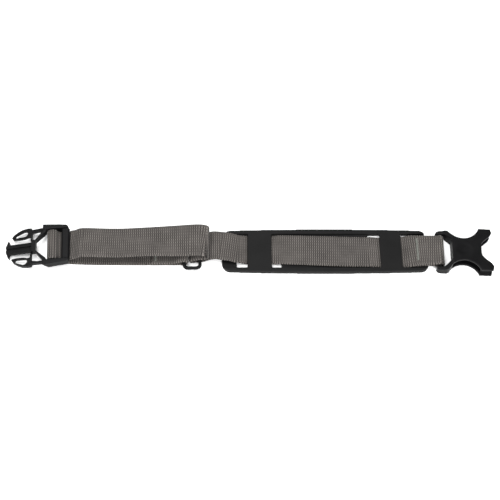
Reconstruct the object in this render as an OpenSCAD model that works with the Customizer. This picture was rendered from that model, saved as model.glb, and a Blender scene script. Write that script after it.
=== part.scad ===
// A 25 mm webbing strap with a side-release buckle at each end, a threaded rubber pad and a slider loop.
// Millimetres. +X runs along the strap to the socket buckle, +Z is up, and the strap lies on Z = 0.

/* [Webbing] */
// Width of the webbing
web_w = 25; // [20:0.5:25]
// Thickness of the webbing
web_t = 1.5; // [1.2:0.1:1.6]

/* [Pad] */
// Length of the pad
pad_l = 157.6; // [156:0.2:160]
// Width of the pad at its middle
pad_w = 37; // [36:0.2:38]
// Width of the pad at its ends
pad_end_w = 34.4; // [33.6:0.2:35]
// Height of the pad's rim and bridges
pad_h = 4; // [3.8:0.1:4.2]
// Thickness of the plates under the webbing
plate_t = 1.3; // [1:0.1:1.4]
// Thickness of each bridge over the webbing
bridge_t = 1.8; // [1.4:0.1:1.8]
// Width of the channel and its slots
channel_w = 29.4; // [29.2:0.1:30]
// Radius of the pad's corners
pad_corner_r = 7; // [3:0.5:9]

/* [Slider] */
// Length of the slider loop along the strap
slider_l = 14.8; // [14.4:0.1:15]
// Width of the slider loop across the strap
slider_w = 36.5; // [36:0.1:38]
// Diameter of the slider's round bars
slider_d = 2.7; // [2.4:0.1:2.8]
// Outer radius of the slider's corners
slider_corner_r = 4.5; // [3:0.5:6]

/* [Socket buckle] */
// Height of the socket buckle
socket_h = 10; // [10:0.1:11]
// Thickness of its upper and lower shells
shell_t = 2; // [1.6:0.1:2.1]
// Half width over the webbing legs
leg_y = 16.9; // [16.6:0.1:17.4]
// Half width over the mouth legs
mouth_y = 17.8; // [17.2:0.1:18.2]
// Half width at the waist
waist_y = 9.3; // [8.8:0.1:9.5]
// Diameter of the bar that holds the webbing
web_bar_d = 2.6; // [2.4:0.1:2.8]

/* [Plug buckle] */
// Nose-down tilt of the webbing frame
plug_pitch = 2; // [1.5:0.1:2]
// Further nose-down bend of the tongue and arms
plug_bend = 6; // [5:0.1:6]
// Turn of the plug buckle about the vertical
plug_yaw = 4.5; // [4:0.1:5]
// Height of the frame's side rails
rail_h = 6.4; // [5.5:0.1:7]
// Thickness of the tongue
tongue_t = 3.6; // [3:0.1:3.6]
// Width of the tongue
tongue_w = 7.5; // [7:0.1:8]
// Height of the latch arms
arm_h = 3.6; // [3:0.1:4]

/* [Hidden] */
$fn = 48;

web_colour = [0.41, 0.39, 0.375];
thread_colour = [0.5, 0.52, 0.49];
rubber_colour = [0.17, 0.17, 0.17];
plastic_colour = [0.1, 0.1, 0.11];
EPS = 0.01;
FIT = 0.28;                                // gap between the webbing and a bar that it wraps

// Places along X of the pad's ends, slots and bridges
pad_x = 57;
left_gap = [-10.4, 23.5];
left_bridge = [-2.3, 16.2];
right_gap = [90.4, 121.9];
right_bridge = [99.2, 115.4];

// Slider loop: its centre, and the distance from there to each bar's axis
slider_c = [-44.4, 1.8, 3.35];
bar_off = (slider_l - slider_d) / 2;

// Socket buckle: its origin is the axis of the webbing bar
socket_c = [144.8, -1.3, 3.9];
socket_yaw = -2;
socket_z = [-socket_c.z, socket_h - socket_c.z];
window_half = [[-5, 13.9], [2.6, 13.9], [8.5, 8.3]];
legs_to = 8.6;

// Plug buckle: its origin is the axis of the front bar
plug_c = [-150.2, 3, 6.5];
front_bar = [4.4, 2.8];                    // width and thickness
front_bar_x = -1.1;
rear_bar = [6.5, 3.2];
rear_bar_x = 8.95;
rail_x = [-8.2, 11.4];
rail_slant = 3.8;                           // how far the rails' lower front corner is set back
rail_in = 13.1;
rail_out = [17.4, 15.8];                   // outer half width at the shoulder and at the rear
yoke_x = -17;
bend_x = -9;

// ---- The webbing: one line from end A, under the socket's bar, to end B, round the slider ----

function arc(c, r, from, to, y, steps) = [
    for (i = [0 : steps]) let (a = from + (to - from) * i / steps) [c[0] + r * cos(a), y, c[1] + r * sin(a), 0]
];

// A point of the plug's own X-Z plane, turned by its pitch and yaw
function plug_point(x, z) = let (run = x * cos(plug_pitch) - z * sin(plug_pitch)) [
    plug_c.x + run * cos(plug_yaw), plug_c.y + run * sin(plug_yaw),
    plug_c.z + x * sin(plug_pitch) + z * cos(plug_pitch), plug_yaw
];
function plug_path(points) = [for (p = points) plug_point(p[0], p[2])];

wrap = FIT + web_t / 2;                    // from a bar's surface to the webbing's centre line
socket_r = web_bar_d / 2 + wrap;
slider_r = slider_d / 2 + wrap;
front_r = front_bar[1] / 2 + wrap;
front_c = (front_bar[0] - front_bar[1]) / 2;
rear_r = rear_bar[1] / 2 + wrap;
rear_c = (rear_bar[0] - rear_bar[1]) / 2;
slider_right = [slider_c.x + bar_off, slider_c.z];
slider_left = [slider_c.x - bar_off, slider_c.z];
fold_c = [-34.6, 9.7];
fold_r = 2.5;

socket_turn = [for (p = arc([socket_c.x, socket_c.z], socket_r, 262, 458, -0.7, 9)) [p[0], p[1], p[2], socket_yaw]];
tail_part = [[124.5, -0.2, 2.4, 0], [130, -0.1, 2.38, 0], [135, -0.1, 2.38, -0.6], [140.5, -0.5, 2.3, -1.6]];
over_plate = [[140.5, -0.5, 5.3, -1.6], [135, -0.1, 4.4, -0.6], [129.5, -0.1, 4.15, 0], [124.5, -0.3, 4, 0]];
right_dip = [[121.3, -0.5, 3.35, 0], [118.5, -0.6, 2.15, 0]];
right_under = [
    [115, -0.6, 1.1, 0], [111, -0.6, 1, 0], [103, -0.6, 1, 0], [99.5, -0.5, 1.1, 0],
    [95.5, -0.6, 1.75, 0], [91.5, -0.6, 2.25, 0], [88, -0.6, 2.3, 0]
];
middle_run = [[72, -0.3, 2.3, 0], [57, 0.3, 2.3, 0], [42, 0.9, 2.3, 0], [26, 1.4, 2.3, 0]];
left_under = [
    [22.5, 1.5, 2.2, 0], [19, 1.6, 1.6, 0], [16, 1.7, 1.1, 0], [12, 1.8, 1, 0], [2, 1.8, 1, 0],
    [-2, 1.8, 1.1, 0], [-5.5, 1.8, 1.8, 0], [-9.5, 1.8, 2.7, 0]
];
left_run = [
    [-13, 1.9, 3.9, 0], [-16.5, 2.1, 4.95, 0], [-21.5, 2.6, 5.1, 0], [-27, 3.3, 4.3, 0],
    [-32, 3.7, 2.5, 0], [-36, 3.8, 1.2, 0]
];
slider_right_low = [slider_right[0], 3.7, slider_right[1] - slider_r, 0];
slider_rise = concat(
    [slider_right_low, [-41.4, 3.6, 0.95, 0], [-44, 3.6, 1.6, 0], [-45, 3.6, 3.3, 0]],
    [[-44.3, 3.7, 5, 0], [-42.3, 3.9, 6.3, 0], [-39.8, 4.1, 7, 0], [-36.8, 4.3, 7.1, 0]],
    arc(fold_c, fold_r, -60, 90, 4.7, 5),
    [[-39, 5.2, 12.4, 0], [-46, 5.1, 12.1, 0]]
);
top_run = [
    [-60, 4.6, 11.2, 0], [-80, 4, 10.2, 0], [-98, 3.5, 9.4, 0], [-110, 3.4, 9.5, 1.5], [-120, 3.5, 10, 3],
    [-126, 3.6, 10, 3.8], [-130.3, 3.7, 9.2, 4.2], [-134.2, 3.8, 6.6, 4.5]
];
plug_turn = plug_path(concat(
    arc([rear_bar_x + rear_c, 0], rear_r, 310, 270, 0, 2),
    arc([rear_bar_x - rear_c, 0], rear_r, 270, 240, 0, 2),
    [[4.3, 0, -1.95], [2.9, 0, -1.25]],
    arc([front_bar_x + front_c, 0], front_r, 0, 90, 0, 4),
    arc([front_bar_x - front_c, 0], front_r, 90, 270, 0, 8),
    [[1.2, 0, -2.8]]
));
under_run = [
    [-146.6, 3.1, 2.45, 4.2], [-143.2, 2.8, 1.2, 3.6], [-139.5, 2.4, 0.8, 3], [-133, 1.9, 0.76, 2],
    [-125, 1.6, 0.76, 1], [-112, 1.3, 0.76, 0], [-96, 1.2, 0.76, 0], [-80, 1.2, 0.76, 0]
];
sewn_turn = concat(
    [[-68, 1.2, 0.76, 0], [-58, 1.2, 0.78, 0]],
    arc(slider_left, slider_r + 0.15, 270, 450, 1.2, 8),
    [[-54.4, 1.2, 5.0, 0], [-58.2, 1.2, 3.4, 0], [-62, 1.2, 2.55, 0], [-68, 1.2, 2.42, 0], [-75, 1.2, 2.42, 0]]
);
STRAP = concat(
    tail_part, socket_turn, over_plate, right_dip, right_under, middle_run, left_under, left_run,
    slider_rise, top_run, plug_turn, under_run, sewn_turn
);

// Number of the last strap point of each stretch, counted from end A
a_loop = len(tail_part) + len(socket_turn) + len(over_plate) - 1;
a_dip = a_loop + len(right_dip);
a_right = a_dip + len(right_under);
a_middle = a_right + len(middle_run);
a_left = a_middle + len(left_under);
a_span = a_left + len(left_run);
a_rise = a_span + len(slider_rise);
a_top = a_rise + len(top_run);
a_plug = a_top + len(plug_turn);
a_under = a_plug + len(under_run);
a_end = len(STRAP) - 1;

SUB = 3;                                   // steps between two strap points
function strap_at(i) = STRAP[min(max(i, 0), a_end)];
function strap_line(i, t) = let (
    p = strap_at(i - 1), q = strap_at(i), r = strap_at(i + 1), s = strap_at(i + 2)
) 0.5 * (2 * q + (r - p) * t + (2 * p - 5 * q + 4 * r - s) * t ^ 2 + (3 * q - p - 3 * r + s) * t ^ 3);
LINE = [for (i = [0 : a_end - 1], k = [0 : SUB - 1]) strap_line(i, k / SUB), STRAP[a_end]];
function unit(v) = v / norm(v);
function xyz(p) = [p[0], p[1], p[2]];
function tangent(i) = unit(xyz(LINE[min(i + 1, len(LINE) - 1)]) - xyz(LINE[max(i - 1, 0)]));

// A flat band of webbing between two numbered strap points, as a closed mesh of four edges
module webbing(from, to) {
    first = from * SUB;
    last = to * SUB;
    rings = last - first;
    points = [
        for (i = [first : last]) let (
            across = [-sin(LINE[i][3]), cos(LINE[i][3]), 0],
            side = unit(across - tangent(i) * (across * tangent(i))) * web_w / 2,
            up = cross(tangent(i), unit(side)) * web_t / 2,
            c = xyz(LINE[i])
        ) each [c + side + up, c + side - up, c - side - up, c - side + up]
    ];
    faces = [
        [0, 1, 2, 3],
        for (k = [0 : rings - 1], j = [0 : 3]) let (a = 4 * k + j, b = 4 * k + (j + 1) % 4) each
            [[a, a + 4, b], [b, a + 4, b + 4]],
        [for (j = [3 : -1 : 0]) 4 * rings + j]
    ];
    color(web_colour) polyhedron(points, faces, convexity = 4);
}

// A short bar of close stitches across the webbing
module bartack(x, y, z, length) {
    thread_w = 1.8;
    thread_t = 0.4;
    color(thread_colour) translate([x, y, z + thread_t / 2]) cube([thread_w, length, thread_t], center = true);
}

// ---- The pad ----

module pad_outline() {
    bow = pad_w - pad_end_w;
    half = pad_l / 2;
    edge = [for (i = [-8 : 8]) let (u = i / 8) [half * u, pad_w / 2 - bow / 2 * u ^ 2]];
    offset(r = pad_corner_r) offset(delta = -pad_corner_r)
        polygon(concat(edge, [for (i = [len(edge) - 1 : -1 : 0]) [edge[i].x, -edge[i].y]]));
}

module cut_box(x, z) {
    translate([x[0], -channel_w / 2, z[0]]) cube([x[1] - x[0], channel_w, z[1] - z[0]]);
}

module pad() {
    reach = pad_l / 2 + 1;
    color(rubber_colour) difference() {
        translate([pad_x, 0, 0]) linear_extrude(pad_h) pad_outline();
        cut_box([pad_x - reach, left_bridge[0]], [plate_t, pad_h + 1]);
        cut_box([left_bridge[1], right_bridge[0]], [plate_t, pad_h + 1]);
        cut_box([right_bridge[1], pad_x + reach], [plate_t, pad_h + 1]);
        cut_box(left_gap, [-1, pad_h - bridge_t]);
        cut_box([left_gap[0], left_bridge[0]], [-1, pad_h]);
        cut_box([left_bridge[1], left_gap[1]], [-1, pad_h]);
        cut_box(right_gap, [-1, pad_h - bridge_t]);
        cut_box([right_gap[0], right_bridge[0]], [-1, pad_h]);
        cut_box([right_bridge[1], right_gap[1]], [-1, pad_h]);
    }
}

// ---- The slider loop ----

module slider_loop() {
    arm_x = slider_l / 2 - slider_corner_r;
    arm_y = slider_w / 2 - slider_corner_r;
    bend_r = slider_corner_r - slider_d / 2;
    color(plastic_colour) translate(slider_c) {
        for (side = [-1, 1]) {
            translate([side * bar_off, 0, 0]) rotate([90, 0, 0])
                cylinder(d = slider_d, h = 2 * arm_y, center = true);
            translate([0, side * (arm_y + bend_r), 0]) rotate([0, 90, 0])
                cylinder(d = slider_d, h = 2 * arm_x, center = true);
        }
        for (corner = [0 : 3]) mirror([corner % 2, 0, 0]) mirror([0, floor(corner / 2), 0])
            translate([arm_x, arm_y, 0]) rotate_extrude(angle = 90) translate([bend_r, 0]) circle(d = slider_d);
    }
}

// ---- The socket buckle ----

module place_socket() {
    translate(socket_c) rotate([0, 0, socket_yaw]) children();
}

// Outline of the buckle, open round the webbing bar and drawn in at the waist
module socket_outline() {
    half = [
        [-3.5, leg_y - 2.4], [-2.4, leg_y - 0.6], [0, leg_y], [4.2, leg_y], [6, leg_y - 0.8],
        [27.4, mouth_y - 1.2], [28.6, mouth_y], [38.2, mouth_y], [39, mouth_y - 3.4], [37.6, mouth_y - 6],
        [32.6, 7.4], [30.8, 5.2], [30.4, 3]
    ];
    waist_r = 12.6;
    waist_x = 17.2;
    difference() {
        polygon(concat(half, [for (i = [len(half) - 1 : -1 : 0]) [half[i].x, -half[i].y]]));
        for (side = [-1, 1]) translate([waist_x, side * (waist_y + waist_r)]) circle(waist_r, $fn = 96);
        polygon(concat(window_half, [for (i = [len(window_half) - 1 : -1 : 0]) [window_half[i].x, -window_half[i].y]]));
    }
}

module shell(z) {
    color(plastic_colour) place_socket() translate([0, 0, z]) linear_extrude(shell_t) intersection() {
        socket_outline();
        translate([legs_to, -20]) square(40);
    }
}

module socket_core() {
    place_socket() translate([0, 0, socket_z[0] + shell_t])
        linear_extrude(socket_h - 2 * shell_t) children();
}

module female_top_shell() {
    shell(socket_z[1] - shell_t);
}

module female_bottom_shell() {
    shell(socket_z[0]);
}

module female_rear_wall() {
    color(plastic_colour) socket_core()
        translate([legs_to, -8]) square([2, 16]);
}

// The two legs, which slope down from the shells' height towards the webbing
module female_web_legs() {
    low = socket_z[0];
    slope = [[-5, low], [-5, 1.4], [-1.5, 2.6], [2, 3], [legs_to, socket_z[1]], [legs_to, low]];
    color(plastic_colour) place_socket() intersection() {
        translate([0, 0, low]) linear_extrude(socket_h) socket_outline();
        rotate([90, 0, 0]) linear_extrude(40, center = true) polygon(slope);
    }
}

module female_web_bar() {
    bar_l = 2 * window_half[0].y;
    color(plastic_colour) place_socket() rotate([90, 0, 0]) cylinder(d = web_bar_d, h = bar_l, center = true);
}

module female_mouth_ribs() {
    rib = [7.6, 1.6];
    inset = 1.7;
    color(plastic_colour) socket_core() for (side = [-1, 1])
        translate([29.4, side * (mouth_y - inset - rib[1] / 2) - rib[1] / 2]) square(rib);
}

module female_guide_rib() {
    rib = [20, 1, 1.2];
    color(plastic_colour) place_socket()
        translate([11.5, -rib[1] / 2, socket_z[0] + shell_t]) cube(rib);
}

// ---- The plug buckle ----

module place_plug() {
    translate(plug_c) rotate([0, -plug_pitch, plug_yaw]) children();
}

module bend_down() {
    translate([bend_x, 0, 0]) rotate([0, -plug_bend, 0]) translate([-bend_x, 0, 0]) children();
}

// A rail's front end leans back towards its lower edge
module male_side_rails() {
    color(plastic_colour) place_plug() for (side = [0, 1]) mirror([0, side, 0]) intersection() {
        translate([0, 0, -rail_h / 2]) linear_extrude(rail_h) polygon([
            [rail_x[0], rail_in], [rail_x[0], rail_out[0]], [rail_x[0] + 2, rail_out[0]],
            [rail_x[1] - 1.5, rail_out[1]], [rail_x[1], rail_out[1] - 1.5], [rail_x[1], rail_in]
        ]);
        rotate([90, 0, 0]) linear_extrude(2 * rail_out[0] + 2, center = true) polygon([
            [rail_x[0], rail_h / 2], [rail_x[0], rail_h / 2 - 1], [rail_x[0] + rail_slant, -rail_h / 2],
            [rail_x[1] - 2, -rail_h / 2], [rail_x[1], 1 - rail_h / 2], [rail_x[1], rail_h / 2]
        ]);
    }
}

// A bar across the frame with round front and rear edges
module flat_bar(x, size) {
    flat = size[0] - size[1];
    color(plastic_colour) place_plug() translate([x, 0, 0]) rotate([90, 0, 0]) {
        for (side = [-1, 1]) translate([side * flat / 2, 0, 0])
            cylinder(d = size[1], h = 2 * rail_in, center = true);
        cube([flat, size[1], 2 * rail_in], center = true);
    }
}

module male_front_bar() {
    flat_bar(front_bar_x, front_bar);
}

module male_rear_bar() {
    flat_bar(rear_bar_x, rear_bar);
}

// The hub in front of the window, and the two struts that run back to the rails
module male_yoke() {
    yoke_h = 5;
    hub_y = 5;
    half = [[yoke_x, hub_y], [-14, hub_y], [-8, rail_in], [-5.7, rail_in], [-5.7, 11.4], [-13.6, 4.2]];
    color(plastic_colour) place_plug() translate([0, 0, -yoke_h / 2]) linear_extrude(yoke_h)
        polygon(concat(half, [for (i = [len(half) - 1 : -1 : 0]) [half[i].x, -half[i].y]]));
}

module male_tongue() {
    tip_x = -37.2;
    flare = [[-33.2, 0], [-34.4, 0.4], [-35, 4.2], [-36.2, 1.2]];
    half = concat(
        [[yoke_x + 0.4, tongue_w / 2]],
        [for (p = flare) [p.x, tongue_w / 2 + p.y]],
        [[tip_x, tongue_w / 2 - 1.2]]
    );
    groove_w = 1.2;
    groove_d = 1;
    color(plastic_colour) place_plug() bend_down() difference() {
        translate([0, 0, -tongue_t / 2]) linear_extrude(tongue_t)
            polygon(concat(half, [for (i = [len(half) - 1 : -1 : 0]) [half[i].x, -half[i].y]]));
        for (side = [-1, 1]) translate([(tip_x + yoke_x) / 2, 0, side * tongue_t / 2])
            cube([yoke_x - tip_x + 2, groove_w, 2 * groove_d], center = true);
    }
}

// A latch arm: a root, a long loop with an oval opening, and the thin leaf on its inner side
module arm_shape() {
    outer = [
        [-8.2, 15.2], [-12, 15], [-16.2, 14.7], [-16.8, 16.3], [-20, 16.5], [-24, 15.8], [-27.6, 14.1],
        [-30.6, 11.9], [-32.3, 9.6], [-31.4, 8.6], [-27.8, 8.3], [-23, 8.5], [-19.2, 9.4], [-17.6, 9],
        [-17.4, 7.4], [-16.6, 7.4], [-16.6, 9.8], [-16.6, 12.4], [-12, 13.1], [-8.2, 13.2]
    ];
    difference() {
        polygon(outer);
        hull() {
            translate([-22.4, 12.1]) circle(2.7, $fn = 32);
            translate([-28.4, 10.8]) circle(1.7, $fn = 32);
        }
    }
}

module male_arm(side) {
    root_gap = 0.4;
    color(plastic_colour) place_plug() bend_down() mirror([0, side, 0])
        translate([-root_gap, 0, -arm_h / 2]) linear_extrude(arm_h) arm_shape();
}

pad();
webbing(a_dip, a_right);  // web_right_bridge
webbing(a_right, a_middle);  // web_middle
webbing(a_middle, a_left);  // web_left_bridge
webbing(0, a_loop);  // female_loop
webbing(a_loop, a_dip);  // right_span
bartack(127.5, 0.2, 4.95, 19);  // bartack_female_end
female_top_shell();
female_bottom_shell();
female_rear_wall();
female_web_legs();
female_web_bar();
female_mouth_ribs();
female_guide_rib();
webbing(a_left, a_span);  // left_span
slider_loop();
webbing(a_span, a_rise);  // slider_bulge
webbing(a_under, a_end);  // slider_sewn_loop
bartack(-72.5, 1.2, 3.18, 21);  // bartack_slider_end
webbing(a_rise, a_top);  // top_ply
webbing(a_plug, a_under);  // lower_ply
webbing(a_top, a_plug);  // male_wrap
male_side_rails();
male_front_bar();
male_rear_bar();
male_yoke();
male_tongue();
male_arm(0);  // male_arm_left
male_arm(1);  // male_arm_right
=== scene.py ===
"""A grey webbing strap with two side-release buckles, a threaded rubber pad and a slider loop."""

import math
import random

import bpy
import numpy as np
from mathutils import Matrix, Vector


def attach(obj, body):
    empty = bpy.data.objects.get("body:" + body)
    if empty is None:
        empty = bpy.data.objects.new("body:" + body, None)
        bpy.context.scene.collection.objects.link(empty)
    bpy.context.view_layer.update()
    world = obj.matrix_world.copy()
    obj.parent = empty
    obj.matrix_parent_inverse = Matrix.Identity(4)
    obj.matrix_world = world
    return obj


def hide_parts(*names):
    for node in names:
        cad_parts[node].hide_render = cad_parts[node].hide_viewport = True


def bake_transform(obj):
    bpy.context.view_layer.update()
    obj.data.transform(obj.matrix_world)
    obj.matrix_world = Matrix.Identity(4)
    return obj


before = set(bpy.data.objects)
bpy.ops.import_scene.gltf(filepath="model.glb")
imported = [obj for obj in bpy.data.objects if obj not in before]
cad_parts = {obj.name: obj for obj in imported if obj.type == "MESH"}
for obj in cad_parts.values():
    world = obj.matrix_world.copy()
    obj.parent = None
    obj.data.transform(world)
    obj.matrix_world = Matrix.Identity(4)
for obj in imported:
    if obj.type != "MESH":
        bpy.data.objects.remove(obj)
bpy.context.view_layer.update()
MM = 0.001

# ---------------------------------------------------------------- places, in millimetres, as the CAD has them
# angles are in degrees

WEB_W, WEB_T = 25, 1.5
FIT = 0.28                                   # gap between the webbing and a bar
SLIDER_C, SLIDER_L, SLIDER_D = (-44.4, 1.8, 3.35), 14.8, 2.7
SOCKET_C, SOCKET_YAW, WEB_BAR_D = (144.8, -1.3, 3.9), -2, 2.6
PLUG_C, PLUG_PITCH, PLUG_BEND, PLUG_YAW = (-150.2, 3, 6.5), 2, 6, 4.5
BEND_X = -9                                  # where the tongue and arms start to bend down
FRONT_BAR_X, FRONT_BAR = -1.1, (4.4, 2.8)    # place, width and thickness
REAR_BAR_X, REAR_BAR = 8.95, (6.5, 3.2)


def arc(c, r, start, end, y, steps):
    """Points of an arc in an X-Z plane: x, y, z and the band's turn about the vertical."""
    angles = [math.radians(start + (end - start) * i / steps) for i in range(steps + 1)]
    return [(c[0] + r * math.cos(a), y, c[1] + r * math.sin(a), 0) for a in angles]


def plug_point(x, z):
    """A point of the plug buckle's own X-Z plane, in the row frame."""
    pitch, yaw = math.radians(PLUG_PITCH), math.radians(PLUG_YAW)
    run = x * math.cos(pitch) - z * math.sin(pitch)
    return (PLUG_C[0] + run * math.cos(yaw), PLUG_C[1] + run * math.sin(yaw),
            PLUG_C[2] + x * math.sin(pitch) + z * math.cos(pitch), PLUG_YAW)


def strap_route():
    """The strap's route from end A to end B, as named stretches of given points: x, y, z and turn.

    It is the CAD's route, moved a little at the slider and left of the pad, where the webbing is slack.
    """
    wrap = FIT + WEB_T / 2
    slider_r = SLIDER_D / 2 + wrap
    front_r = FRONT_BAR[1] / 2 + wrap
    front_c = (FRONT_BAR[0] - FRONT_BAR[1]) / 2
    rear_r = REAR_BAR[1] / 2 + wrap
    rear_c = (REAR_BAR[0] - REAR_BAR[1]) / 2
    bar_off = (SLIDER_L - SLIDER_D) / 2
    right_bar = (SLIDER_C[0] + bar_off, SLIDER_C[2])
    left_bar = (SLIDER_C[0] - bar_off, SLIDER_C[2])
    socket_turn = arc((SOCKET_C[0], SOCKET_C[2]), WEB_BAR_D / 2 + wrap, 262, 458, -0.7, 9)
    fold_turn = arc((-34.6, 9.7), 2.5, -60, 90, 4.7, 5)
    plug_turn = (arc((REAR_BAR_X + rear_c, 0), rear_r, 310, 270, 0, 2)
                 + arc((REAR_BAR_X - rear_c, 0), rear_r, 270, 240, 0, 2)
                 + [(4.3, 0, -1.95, 0), (2.9, 0, -1.25, 0)]
                 + arc((FRONT_BAR_X + front_c, 0), front_r, 0, 90, 0, 4)
                 + arc((FRONT_BAR_X - front_c, 0), front_r, 90, 270, 0, 8) + [(1.2, 0, -2.8, 0)])
    return [
        ("female_loop", [
            (124.5, -0.2, 2.4, 0), (130, -0.1, 2.38, 0), (135, -0.1, 2.38, -0.6), (140.5, -0.5, 2.3, -1.6)]
         + [(*p[:3], SOCKET_YAW) for p in socket_turn]
         + [(140.5, -0.5, 5.3, -1.6), (135, -0.1, 4.4, -0.6), (129.5, -0.1, 4.15, 0), (124.5, -0.3, 4, 0)]),
        ("right_span", [(121.3, -0.5, 3.35, 0), (118.5, -0.6, 2.15, 0)]),
        ("pad_run", [
            (115, -0.6, 1.1, 0), (111, -0.6, 1, 0), (103, -0.6, 1, 0), (99.5, -0.5, 1.1, 0),
            (95.5, -0.6, 1.75, 0), (91.5, -0.6, 2.25, 0), (88, -0.6, 2.3, 0),
            (72, -0.3, 2.3, 0), (57, 0.3, 2.3, 0), (42, 0.9, 2.3, 0), (26, 1.4, 2.3, 0),
            (22.5, 1.5, 2.2, 0), (19, 1.6, 1.6, 0), (16, 1.7, 1.1, 0), (12, 1.8, 1, 0), (2, 1.8, 1, 0),
            (-2, 1.8, 1.1, 0), (-5.5, 1.8, 1.8, 0), (-9.5, 1.8, 2.7, 0)]),
        ("left_span", [
            (-13, 2.2, 3.9, 0), (-16.5, 2.6, 4.95, 0), (-21.5, 3.1, 5.25, 0), (-27, 3.7, 5.1, 0),
            (-31.5, 3.9, 3.8, 0), (-35.5, 3.8, 1.6, 0)]),
        ("slider_bulge", [
            (right_bar[0], 3.7, right_bar[1] - slider_r, 0), (-41.6, 3.6, 0.95, 0), (-45, 3.6, 1.4, 0),
            (-46.2, 3.6, 3.3, 0), (-45.3, 3.7, 5.2, 0), (-42.8, 3.9, 6.4, 0), (-39.8, 4.1, 7, 0),
            (-36.8, 4.3, 7.1, 0)]
         + fold_turn + [(-39, 5.2, 12.4, 0), (-46, 5.1, 12.1, 0)]),
        ("top_ply", [
            (-60, 4.6, 11.2, 0), (-80, 4, 10.2, 0), (-98, 3.5, 9.4, 0), (-110, 3.4, 9.5, 1.5),
            (-120, 3.5, 10, 3), (-126, 3.6, 10, 3.8), (-130.3, 3.7, 9.2, 4.2), (-134.2, 3.8, 6.6, 4.5)]),
        ("male_wrap", [plug_point(p[0], p[2]) for p in plug_turn]),
        ("lower_ply", [
            (-146.6, 3.1, 2.45, 4.2), (-143.2, 2.8, 1.2, 3.6), (-139.5, 2.4, 0.8, 3), (-133, 1.9, 0.76, 2),
            (-125, 1.6, 0.76, 1), (-112, 1.3, 0.76, 0), (-96, 1.2, 0.76, 0), (-80, 1.2, 0.76, 0)]),
        ("slider_sewn_loop", [(-68, 1.2, 0.76, 0), (-58, 1.2, 0.78, 0)]
         + arc(left_bar, slider_r + 0.15, 270, 450, 1.2, 8)
         + [(-54.4, 1.2, 5.0, 0), (-58.2, 1.2, 3.4, 0), (-62, 1.2, 2.55, 0), (-68, 1.2, 2.42, 0),
            (-75, 1.2, 2.42, 0)]),
    ]


# ---------------------------------------------------------------- node materials

def new_material(name, base, rough):
    mat = bpy.data.materials.new(name)
    mat.use_nodes = True
    bsdf = mat.node_tree.nodes["Principled BSDF"]
    bsdf.inputs["Base Color"].default_value = (*base, 1)
    bsdf.inputs["Roughness"].default_value = rough
    return mat, mat.node_tree, bsdf


def math_node(tree, kind, a, b=None, c=None):
    node = tree.nodes.new("ShaderNodeMath")
    node.operation = kind
    for i, v in enumerate((a, b, c)):
        if v is None:
            continue
        if isinstance(v, (int, float)):
            node.inputs[i].default_value = v
        else:
            tree.links.new(v, node.inputs[i])
    return node.outputs[0]


def noise(tree, vector, scale, detail=2.0, rough=0.5):
    node = tree.nodes.new("ShaderNodeTexNoise")
    node.inputs["Scale"].default_value = scale
    node.inputs["Detail"].default_value = detail
    node.inputs["Roughness"].default_value = rough
    tree.links.new(vector, node.inputs["Vector"])
    return node.outputs["Fac"]


def ramp(tree, fac, stops):
    node = tree.nodes.new("ShaderNodeValToRGB")
    for i, (place, colour) in enumerate(stops):
        e = node.color_ramp.elements[i] if i < 2 else node.color_ramp.elements.new(place)
        e.position = place
        e.color = (*colour, 1)
    tree.links.new(fac, node.inputs["Fac"])
    return node.outputs["Color"]


def bump(tree, height, strength, distance, bsdf):
    node = tree.nodes.new("ShaderNodeBump")
    node.inputs["Strength"].default_value = strength
    node.inputs["Distance"].default_value = distance
    tree.links.new(height, node.inputs["Height"])
    tree.links.new(node.outputs["Normal"], bsdf.inputs["Normal"])


WARP, WEFT = 1.15, 1.55                     # spacing of the lengthwise ribs and of the picks across, in mm
BEAD = 1.9                                   # spacing of the knots along the selvedge


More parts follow.
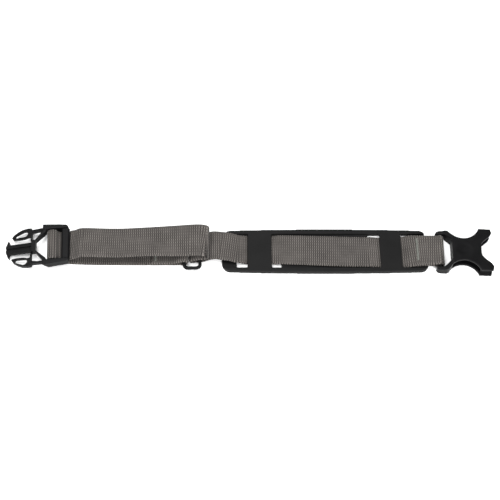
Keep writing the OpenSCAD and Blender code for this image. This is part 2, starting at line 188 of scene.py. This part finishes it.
def webbing_material(name, stretches):
    """Woven nylon. Where the webbing stretches with a joint, X places its picks, to keep their size."""
    mat, tree, bsdf = new_material(name, (0.14, 0.125, 0.117), 0.85)
    place = tree.nodes.new("ShaderNodeTexCoord").outputs["Object"]

    def attribute(key):
        node = tree.nodes.new("ShaderNodeAttribute")
        node.attribute_name = key
        return node.outputs["Fac"]

    across = attribute("strap_u")
    if stretches:
        split = tree.nodes.new("ShaderNodeSeparateXYZ")
        tree.links.new(place, split.inputs[0])
        along = math_node(tree, "MULTIPLY", split.outputs["X"], 1000.0)
    else:
        along = attribute("strap_s")
    picks = math_node(tree, "SINE", math_node(tree, "MULTIPLY", along, 2 * math.pi / WEFT))
    ribs = math_node(tree, "SINE", math_node(tree, "MULTIPLY", across, math.pi / WARP))
    cells = math_node(tree, "MULTIPLY", picks, ribs)
    weave = math_node(tree, "MULTIPLY_ADD", picks, 0.55, math_node(tree, "MULTIPLY", cells, 0.45))
    # the weave's relief: it drives the bump, and also the colour, where its low grooves get painted shade
    height = math_node(tree, "MULTIPLY_ADD", weave, 0.5, 0.5)
    fuzz = noise(tree, place, 2300, 3.0, 0.6)
    tone = noise(tree, place, 90, 3.0, 0.55)
    mottle = math_node(tree, "MULTIPLY_ADD", fuzz, 0.32, math_node(tree, "MULTIPLY", tone, 0.18))
    shade = math_node(tree, "MULTIPLY_ADD", height, 0.5, mottle)
    # light and dark knots along each selvedge, which fade out 1.2 mm in from it
    edge = math_node(tree, "MULTIPLY_ADD", math_node(tree, "ABSOLUTE", across), 1.3, -14.7)
    edge.node.use_clamp = True
    bead = math_node(tree, "SINE", math_node(tree, "MULTIPLY", along, 2 * math.pi / BEAD))
    knots = math_node(tree, "MULTIPLY", edge, math_node(tree, "MULTIPLY", bead, 0.22))
    shade = math_node(tree, "ADD", shade, knots)
    # painted shade: the ramp darkens the weave's grooves nearly to black, as shade falls between the threads,
    # on top of the threads' own pattern, random tone and selvedge knots
    colour = ramp(tree, shade, [(0.24, (0.004, 0.0037, 0.0033)), (0.8, (0.138, 0.125, 0.116)),
                                (0.5, (0.045, 0.0408, 0.0375))])
    tree.links.new(colour, bsdf.inputs["Base Color"])
    rough = math_node(tree, "MULTIPLY_ADD", fuzz, 0.25, 0.68)
    tree.links.new(rough, bsdf.inputs["Roughness"])
    bsdf.inputs["Sheen Weight"].default_value = 0.06
    bsdf.inputs["Sheen Roughness"].default_value = 0.5
    bsdf.inputs["Specular IOR Level"].default_value = 0.15
    bump(tree, math_node(tree, "MULTIPLY_ADD", fuzz, 0.35, height), 0.8, 0.00022, bsdf)
    return mat


def thread_material():
    mat, tree, bsdf = new_material("thread", (0.24, 0.25, 0.225), 0.6)
    place = tree.nodes.new("ShaderNodeTexCoord").outputs["Object"]
    twist = noise(tree, place, 3200, 2.0)
    tree.links.new(ramp(tree, twist, [(0.3, (0.06, 0.063, 0.055)), (0.7, (0.16, 0.166, 0.148))]),
                   bsdf.inputs["Base Color"])
    tree.links.new(math_node(tree, "MULTIPLY_ADD", twist, 0.3, 0.4), bsdf.inputs["Roughness"])
    bump(tree, twist, 0.5, 0.0001, bsdf)
    return mat


def plastic_material():
    mat, tree, bsdf = new_material("plastic", (0.005, 0.005, 0.006), 0.4)
    place = tree.nodes.new("ShaderNodeTexCoord").outputs["Object"]
    fine = noise(tree, place, 2200, 3.0, 0.6)
    broad = noise(tree, place, 120, 3.0)
    tree.links.new(ramp(tree, broad, [(0.3, (0.0018, 0.0018, 0.002)), (0.7, (0.0034, 0.0034, 0.0037))]),
                   bsdf.inputs["Base Color"])
    bsdf.inputs["Specular IOR Level"].default_value = 0.08
    rough = math_node(tree, "MULTIPLY_ADD", broad, 0.2, math_node(tree, "MULTIPLY_ADD", fine, 0.1, 0.27))
    tree.links.new(rough, bsdf.inputs["Roughness"])
    bump(tree, fine, 0.25, 0.00006, bsdf)
    return mat


def rubber_material():
    mat, tree, bsdf = new_material("rubber", (0.03, 0.03, 0.03), 0.55)
    place = tree.nodes.new("ShaderNodeTexCoord").outputs["Object"]
    grain = noise(tree, place, 1500, 4.0, 0.65)
    broad = noise(tree, place, 60, 3.0)
    shade = math_node(tree, "MULTIPLY_ADD", grain, 0.6, math_node(tree, "MULTIPLY", broad, 0.4))
    tree.links.new(ramp(tree, shade, [(0.3, (0.0028, 0.0028, 0.0028)), (0.7, (0.0068, 0.0068, 0.0068))]),
                   bsdf.inputs["Base Color"])
    bsdf.inputs["Specular IOR Level"].default_value = 0.09
    tree.links.new(math_node(tree, "MULTIPLY_ADD", grain, 0.25, 0.42), bsdf.inputs["Roughness"])
    bump(tree, grain, 0.6, 0.00014, bsdf)
    return mat


# ---------------------------------------------------------------- mesh helpers

def link(name, mesh, material):
    obj = bpy.data.objects.new(name, mesh)
    bpy.context.scene.collection.objects.link(obj)
    mesh.materials.clear()
    mesh.materials.append(material)
    mesh.polygons.foreach_set("use_smooth", [True] * len(mesh.polygons))
    return obj


def mesh_of(name, points, faces):
    """A mesh from points in millimetres."""
    mesh = bpy.data.meshes.new(name)
    mesh.from_pydata([tuple(p) for p in np.asarray(points, float) * MM], [], faces)
    return mesh


# ---------------------------------------------------------------- the webbing

def smoothstep(t):
    t = np.clip(t, 0, 1)
    return t * t * (3 - 2 * t)


FINE = 24                                    # samples between two points of the route


def strap_line():
    """The strap's centre line as a smooth curve through the route.

    Gives rows of x, y, z and turn, the length so far at each row, and where each stretch starts and ends.
    """
    route = strap_route()
    points = np.array([p for _, part in route for p in part], float)
    n = len(points)
    rows = []
    for i in range(n - 1):
        p, q, r, s = (points[min(max(j, 0), n - 1)] for j in (i - 1, i, i + 1, i + 2))
        for k in range(FINE):
            t = k / FINE
            rows.append(0.5 * (2 * q + (r - p) * t + (2 * p - 5 * q + 4 * r - s) * t ** 2
                               + (3 * q - p - 3 * r + s) * t ** 3))
    rows.append(points[-1])
    rows = np.array(rows)
    run = np.concatenate([[0], np.cumsum(np.linalg.norm(np.diff(rows[:, :3], axis=0), axis=1))])
    ends, last = {}, -1
    start = 0.0
    for name, part in route:
        last += len(part)
        stop = run[last * FINE]
        ends[name] = (start, stop)
        start = stop
    return rows, run, ends


LINE, RUN, ENDS = strap_line()
LINE_TANGENT = np.gradient(LINE[:, :3], axis=0)
LINE_TANGENT /= np.linalg.norm(LINE_TANGENT, axis=1)[:, None]


def run_at(x, lo, hi):
    """The length along the strap where it passes X = x, between two lengths."""
    pick = (RUN >= lo) & (RUN <= hi)
    return float(RUN[pick][np.argmin(abs(LINE[pick, 0] - x))])


def strap_frame(s):
    """Centre, across and up directions at lengths s."""
    row = np.stack([np.interp(s, RUN, LINE[:, k]) for k in range(4)], axis=1)
    t = np.stack([np.interp(s, RUN, LINE_TANGENT[:, k]) for k in range(3)], axis=1)
    t /= np.linalg.norm(t, axis=1)[:, None]
    yaw = np.radians(row[:, 3])
    across = np.stack([-np.sin(yaw), np.cos(yaw), 0 * yaw], axis=1)
    side = across - t * (across * t).sum(1)[:, None]
    side /= np.linalg.norm(side, axis=1)[:, None]
    return row[:, :3], side, np.cross(t, side)


def band_section():
    """The band's outline, as places across and heights from its mid-surface, with ribs and round edges."""
    half, h = WEB_W / 2, WEB_T / 2
    margin, rib_h = 0.9, 0.055
    edge_r, edge_fill = 0.75, 0.72
    us = np.arange(-half + margin, half - margin + 0.01, WARP / 4)
    top = [(u, h - rib_h + rib_h * abs(math.sin(math.pi * u / WARP))) for u in us]
    right = [(half - edge_r + edge_r * math.cos(a), edge_fill * h * math.sin(a))
             for a in np.radians([65, 40, 15, -15, -40, -65])]
    bottom = [(u, -v) for u, v in reversed(top)]
    left = [(-u, -v) for u, v in right]
    return np.array(top + right + bottom + left)


SECTION = band_section()
LEAN, LEAN_SHIFT = 0.15, 0.8                 # slope across the band, and its shift towards -Y in mm


def spread(x):
    """The band's width at X = x, as a factor: less at the pad's left end, more on its right half."""
    places = [-34, -24, -14, 10, 60, 108, 114, 123, 130, 140]
    factors = [1, 0.97, 0.98, 1, 1.045, 1.045, 1.09, 1.09, 1.03, 1]
    return np.interp(x, places, factors)


def lean(s):
    """How far the band leans at length s: 1 where the slack folds back over the slider, 0 away from it."""
    rise_start = ENDS["slider_bulge"][0] + 5
    fall_start = ENDS["top_ply"][0]
    rise, fall = 9, 34
    return smoothstep((s - rise_start) / rise) * (1 - smoothstep((s - fall_start) / fall))


def band(name, s0, s1, material, step=1.0, wave=0.0):
    """A closed length of webbing between two lengths along the strap. Any slow ripple is scaled by wave."""
    s = np.linspace(s0, s1, max(3, int(round((s1 - s0) / step)) + 1))
    centre, side, up = strap_frame(s)
    n, m = len(s), len(SECTION)
    u, v = SECTION[:, 0], SECTION[:, 1]
    wide = spread(centre[:, 0])[:, None, None]
    points = centre[:, None] + side[:, None] * u[None, :, None] * wide + up[:, None] * v[None, :, None]
    tip = lean(s)[:, None]
    points[:, :, 2] += LEAN * tip * (points[:, :, 1] - centre[:, 1:2])
    points[:, :, 1] -= LEAN_SHIFT * tip
    if wave:
        # two waves of unlike lengths, which fade out at both ends, where the next piece meets this one
        fade = np.clip(np.minimum(s - s0, s1 - s) / 6, 0, 1)[:, None]
        lift = wave * fade * (np.sin(s / 7.1)[:, None] * np.cos(u / 6.3 + 0.6)[None]
                              + 0.6 * np.sin(s / 3.9 + 1.2)[:, None] * np.sin(u / 4.1)[None])
        points += up[:, None] * lift[:, :, None]
    faces = []
    for i in range(n - 1):
        a = i * m
        faces += [(a + j, a + (j + 1) % m, a + m + (j + 1) % m, a + m + j) for j in range(m)]
    caps = [centre[0], centre[-1]]
    k = n * m
    faces += [(k, (j + 1) % m, j) for j in range(m)]
    faces += [(k + 1, (n - 1) * m + j, (n - 1) * m + (j + 1) % m) for j in range(m)]
    mesh = mesh_of(name, np.concatenate([points.reshape(-1, 3), caps]), faces)
    for key, values, cap in (("strap_s", np.repeat(s, m), [s0, s1]), ("strap_u", np.tile(u, n), [0, 0])):
        attribute = mesh.attributes.new(key, "FLOAT", "POINT")
        attribute.data.foreach_set("value", np.concatenate([values, cap]).astype(np.float32))
    mesh.update()
    obj = link(name, mesh, material)
    return obj


EXIT_CUT, TOP_CUT, LOW_CUT = -23, -128.5, -131    # X of the cuts between pieces of webbing, in mm


def build_webbing():
    plain = webbing_material("webbing", False)
    moving = webbing_material("webbing_adjusting", True)

    loop = band("webbing_socket_loop", *ENDS["female_loop"], plain, 0.8)
    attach(loop, "right_run")
    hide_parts("female_loop")

    dip = band("webbing_right_dip", *ENDS["right_span"], plain, 0.5)
    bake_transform(dip)
    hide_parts("right_span")

    run = band("webbing_in_pad", *ENDS["pad_run"], plain, 1.0, 0.05)
    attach(run, "pad")
    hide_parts("web_right_bridge", "web_middle", "web_left_bridge")

    s0, s1 = ENDS["left_span"]
    cut = run_at(EXIT_CUT, s0, s1)
    exit_piece = band("webbing_left_exit", s0, cut, plain, 0.5)
    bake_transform(exit_piece)
    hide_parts("left_span")
    free = band("webbing_left_free", cut, s1, moving, 0.5)
    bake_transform(free)

    bulge = band("webbing_slider_fold", *ENDS["slider_bulge"], plain, 0.5)
    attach(bulge, "slider")
    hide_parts("slider_bulge")

    s0, s1 = ENDS["top_ply"]
    cut_top = run_at(TOP_CUT, s0, s1)
    top = band("webbing_top_ply", s0, cut_top, moving, 0.8, 0.07)
    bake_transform(top)
    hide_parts("top_ply")

    t0, t1 = ENDS["lower_ply"]
    cut_low = run_at(LOW_CUT, t0, t1)
    wrap = band("webbing_plug_wrap", cut_top, cut_low, plain, 0.5)
    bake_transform(wrap)
    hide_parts("male_wrap")

    low = band("webbing_lower_ply", cut_low, t1, moving, 0.8)
    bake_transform(low)
    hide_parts("lower_ply")

    sewn = band("webbing_sewn_loop", *ENDS["slider_sewn_loop"], plain, 0.5)
    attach(sewn, "slider")
    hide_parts("slider_sewn_loop")


def stitches(name, lines, z, material, radius=0.2, rise=0.22):
    """Short threads, each from one point to another, that rise out of the webbing and go back into it."""
    points, faces = [], []
    segments, sides = 6, 6
    sink, widen = 0.25, 1.15
    for (x0, y0), (x1, y1) in lines:
        d = np.array([x1 - x0, y1 - y0, 0.0])
        length = np.linalg.norm(d)
        d /= length
        n = np.cross([0, 0, 1], d)
        base = len(points)
        for i in range(segments + 1):
            t = i / segments
            lift = rise * math.sin(math.pi * t) ** 0.6 if 0 < t < 1 else -sink
            c = np.array([x0, y0, z + lift]) + d * length * t
            thick = radius * (0.75 + 0.25 * math.sin(math.pi * t))
            for k in range(sides):
                a = 2 * math.pi * k / sides
                points.append(c + n * math.cos(a) * thick * widen + np.array([0, 0, math.sin(a) * thick]))
        for i in range(segments):
            for k in range(sides):
                a, b = base + i * sides + k, base + i * sides + (k + 1) % sides
                faces.append((a, b, b + sides, a + sides))
        faces.append(tuple(base + k for k in reversed(range(sides))))
        faces.append(tuple(base + segments * sides + k for k in range(sides)))
    obj = link(name, mesh_of(name, points, faces), material)
    return obj


def bartack_lines(x, y, width, length, count, rng):
    """A close zigzag of thread: each stitch runs from one side of the tack to the other."""
    lines = []
    for i in range(count):
        y0 = y - length / 2 + length * i / count
        gap = length / count
        j = rng.uniform(-0.06, 0.06)
        lines.append(((x - width / 2 + j, y0), (x + width / 2 + j, y0 + gap)))
        lines.append(((x + width / 2 + j, y0 + gap * 0.5), (x - width / 2 + j, y0 + gap * 1.5)))
    return lines


def build_stitching():
    material = thread_material()
    rng = random.Random(4)
    socket_tack, socket_tack_z = (127.5, 0.3), 4.14 + WEB_T / 2
    slider_tack, slider_tack_z = (-72.5, 1.2), 2.42 + WEB_T / 2
    tack_w = 1.8
    lines = bartack_lines(*socket_tack, tack_w, 19, 22, rng)
    tack = stitches("bartack_socket_end", lines, socket_tack_z, material)
    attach(tack, "right_run")
    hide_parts("bartack_female_end")
    lines = bartack_lines(*slider_tack, tack_w, 21, 24, rng)
    tack = stitches("bartack_slider_end", lines, slider_tack_z, material)
    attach(tack, "slider")
    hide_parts("bartack_slider_end")


# ---------------------------------------------------------------- moulded pieces

def merged(nodes, extra=()):
    """The named CAD solids, and any extra ones, as lists of points in millimetres and faces."""
    points, faces = [], []
    for name in nodes:
        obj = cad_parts[name]
        base = len(points)
        points += [obj.matrix_world @ v.co / MM for v in obj.data.vertices]
        faces += [tuple(base + i for i in p.vertices) for p in obj.data.polygons]
    for more, sides in extra:
        base = len(points)
        points += [Vector(p) for p in more]
        faces += [tuple(base + i for i in f) for f in sides]
    return points, faces


def moulded(name, nodes, material, voxel=0.3, rounds=4, extra=(), shape=None):
    """One smooth moulding made from the CAD solids: fused, edges softened, then worked by shape(points)."""
    points, faces = merged(nodes, extra)
    rough = bpy.data.meshes.new(name + "_rough")
    rough.from_pydata([tuple(p) for p in points], [], faces)
    work = bpy.data.objects.new(name + "_rough", rough)
    bpy.context.scene.collection.objects.link(work)
    fuse = work.modifiers.new("fuse", "REMESH")
    fuse.mode, fuse.voxel_size = "VOXEL", voxel
    soften = work.modifiers.new("soften", "SMOOTH")
    soften.factor, soften.iterations = 0.5, rounds
    graph = bpy.context.evaluated_depsgraph_get()
    mesh = bpy.data.meshes.new_from_object(work.evaluated_get(graph))
    bpy.data.objects.remove(work)
    bpy.data.meshes.remove(rough)
    co = np.empty(len(mesh.vertices) * 3)
    mesh.vertices.foreach_get("co", co)
    co = co.reshape(-1, 3)
    if shape:
        co = shape(co)
    mesh.vertices.foreach_set("co", (co * MM).ravel())
    mesh.update()
    mesh.name = name
    obj = link(name, mesh, material)
    return obj


def local(points, centre, yaw):
    """Points in a buckle's own frame."""
    a = math.radians(yaw)
    d = points - np.array(centre)
    return np.stack([d[:, 0] * math.cos(a) + d[:, 1] * math.sin(a),
                     -d[:, 0] * math.sin(a) + d[:, 1] * math.cos(a), d[:, 2]], axis=1)


def placed(points, centre, yaw, pitch=0):
    """Points of a buckle's own frame, in the row frame."""
    a, b = math.radians(yaw), math.radians(pitch)
    p = np.asarray(points, float)
    run = p[:, 0] * math.cos(b) - p[:, 2] * math.sin(b)
    return np.stack([run * math.cos(a) - p[:, 1] * math.sin(a), run * math.sin(a) + p[:, 1] * math.cos(a),
                     p[:, 0] * math.sin(b) + p[:, 2] * math.cos(b)], axis=1) + np.array(centre)


def in_plug(points):
    return placed(points, PLUG_C, PLUG_YAW, PLUG_PITCH)


def bent(points):
    """Plug points in the plane of the tongue and arms, which bends down in front of the frame."""
    a = math.radians(PLUG_BEND)
    p = np.asarray(points, float).copy()
    x = p[:, 0] - BEND_X
    z = p[:, 2].copy()
    p[:, 0] = BEND_X + x * math.cos(a) - z * math.sin(a)
    p[:, 2] = x * math.sin(a) + z * math.cos(a)
    return p


def prism(outline, z0, z1):
    """A closed prism in the arms' plane, on an outline given counter-clockwise in the plug's frame."""
    n = len(outline)
    points = bent([(x, y, z0) for x, y in outline] + [(x, y, z1) for x, y in outline])
    faces = [tuple(reversed(range(n))), tuple(range(n, 2 * n))]
    faces += [(i, (i + 1) % n, n + (i + 1) % n, n + i) for i in range(n)]
    return in_plug(points), faces


def socket_shape(points):
    """A shallow oval dish in the middle of the top."""
    top_z, skin = 10, 0.8
    dish_x, dish_half, dish_depth = 17.4, (6.6, 5.2), 0.22
    dish_edge = 1.15                         # r at which the dish starts
    p = local(points, SOCKET_C, SOCKET_YAW)
    r = ((p[:, 0] - dish_x) / dish_half[0]) ** 2 + (p[:, 1] / dish_half[1]) ** 2
    on_top = p[:, 2] > top_z - SOCKET_C[2] - skin
    p[:, 2] -= np.where(on_top, dish_depth * smoothstep(dish_edge - r), 0)
    return placed(p, SOCKET_C, SOCKET_YAW)


def build_plastic():
    plastic = plastic_material()
    frame_piece = moulded("plug_frame", [
        "male_side_rails", "male_front_bar", "male_rear_bar", "male_yoke", "male_tongue"], plastic,
        0.28, 4)
    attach(frame_piece, "plug")
    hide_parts("male_side_rails", "male_front_bar", "male_rear_bar", "male_yoke", "male_tongue")

    arm_half_h = 1.8
    for side, arm in ((1, "left"), (-1, "right")):
        # these lengthen the CAD's arm: its root into the rail, and its thin leaf inwards
        root = [(-9.2, 13.2), (-5.2, 13.2), (-5.2, 15.2), (-9.2, 15.2)]
        leaf = [(-17.7, 4.4), (-16.9, 4.4), (-17.0, 7.8), (-17.8, 7.8)]
        if side < 0:
            root = [(x, -y) for x, y in reversed(root)]
            leaf = [(x, -y) for x, y in reversed(leaf)]
        obj = moulded(f"latch_arm_{arm}", [f"male_arm_{arm}"], plastic, 0.25, 3,
                      [prism(part, -arm_half_h, arm_half_h) for part in (root, leaf)])
        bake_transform(obj)
        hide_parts(f"male_arm_{arm}")

    socket_nodes = ["female_top_shell", "female_bottom_shell", "female_rear_wall", "female_web_legs",
                    "female_web_bar", "female_mouth_ribs", "female_guide_rib"]
    socket = moulded("socket_buckle", socket_nodes, plastic, 0.3, 4, (), socket_shape)
    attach(socket, "socket")
    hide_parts(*socket_nodes)

    loop = moulded("slider_ring", ["slider_loop"], plastic, 0.25, 2)
    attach(loop, "slider")
    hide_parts("slider_loop")


def build_pad():
    pad = moulded("pad_body", ["pad"], rubber_material(), 0.4, 4)
    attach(pad, "pad")
    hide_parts("pad")


# ---------------------------------------------------------------- stage, light and camera

CAMERA_ELEVATION = 61                        # degrees
CAMERA_DISTANCE = 0.75                       # metres, as the target is
LENS, SENSOR = 70.2, 36
TARGET = Vector((-0.0004, 0.0024, 0))


def build_camera():
    data = bpy.data.cameras.new("camera")
    data.lens, data.sensor_width = LENS, SENSOR
    data.clip_start, data.clip_end = 0.01, 10
    cam = bpy.data.objects.new("camera", data)
    bpy.context.scene.collection.objects.link(cam)
    up = math.radians(CAMERA_ELEVATION)
    cam.location = TARGET + CAMERA_DISTANCE * Vector((0, -math.cos(up), math.sin(up)))
    cam.rotation_euler = (math.radians(90) - up, 0, 0)
    bpy.context.scene.camera = cam


def area_light(name, place, size, power):
    data = bpy.data.lights.new(name, "AREA")
    data.shape, data.size, data.energy = "DISK", size, power
    light = bpy.data.objects.new(name, data)
    bpy.context.scene.collection.objects.link(light)
    light.location = place
    light.rotation_euler = (-Vector(place)).to_track_quat("-Z", "Y").to_euler()


def build_stage():
    mesh = bpy.data.meshes.new("floor")
    reach = 4
    corners = [(-reach, -reach, 0), (reach, -reach, 0), (reach, reach, 0), (-reach, reach, 0)]
    mesh.from_pydata(corners, [], [(0, 1, 2, 3)])
    floor = bpy.data.objects.new("floor", mesh)
    bpy.context.scene.collection.objects.link(floor)
    mat, _, bsdf = new_material("floor", (0.92, 0.92, 0.92), 0.8)
    bsdf.inputs["Specular IOR Level"].default_value = 0.2
    mesh.materials.append(mat)
    world = bpy.data.worlds.new("world")
    world.use_nodes = True
    world.node_tree.nodes["Background"].inputs["Color"].default_value = (1, 1, 1, 1)
    world.node_tree.nodes["Background"].inputs["Strength"].default_value = 0.7
    bpy.context.scene.world = world
    area_light("key", (-0.3, 0.2, 1.3), 1.0, 20)
    area_light("fill", (0.5, -1.1, 0.75), 1.2, 34)


# ---------------------------------------------------------------- main

build_webbing()
build_stitching()
build_plastic()
build_pad()
build_camera()
build_stage()
bpy.context.scene.view_settings.view_transform = "Standard"
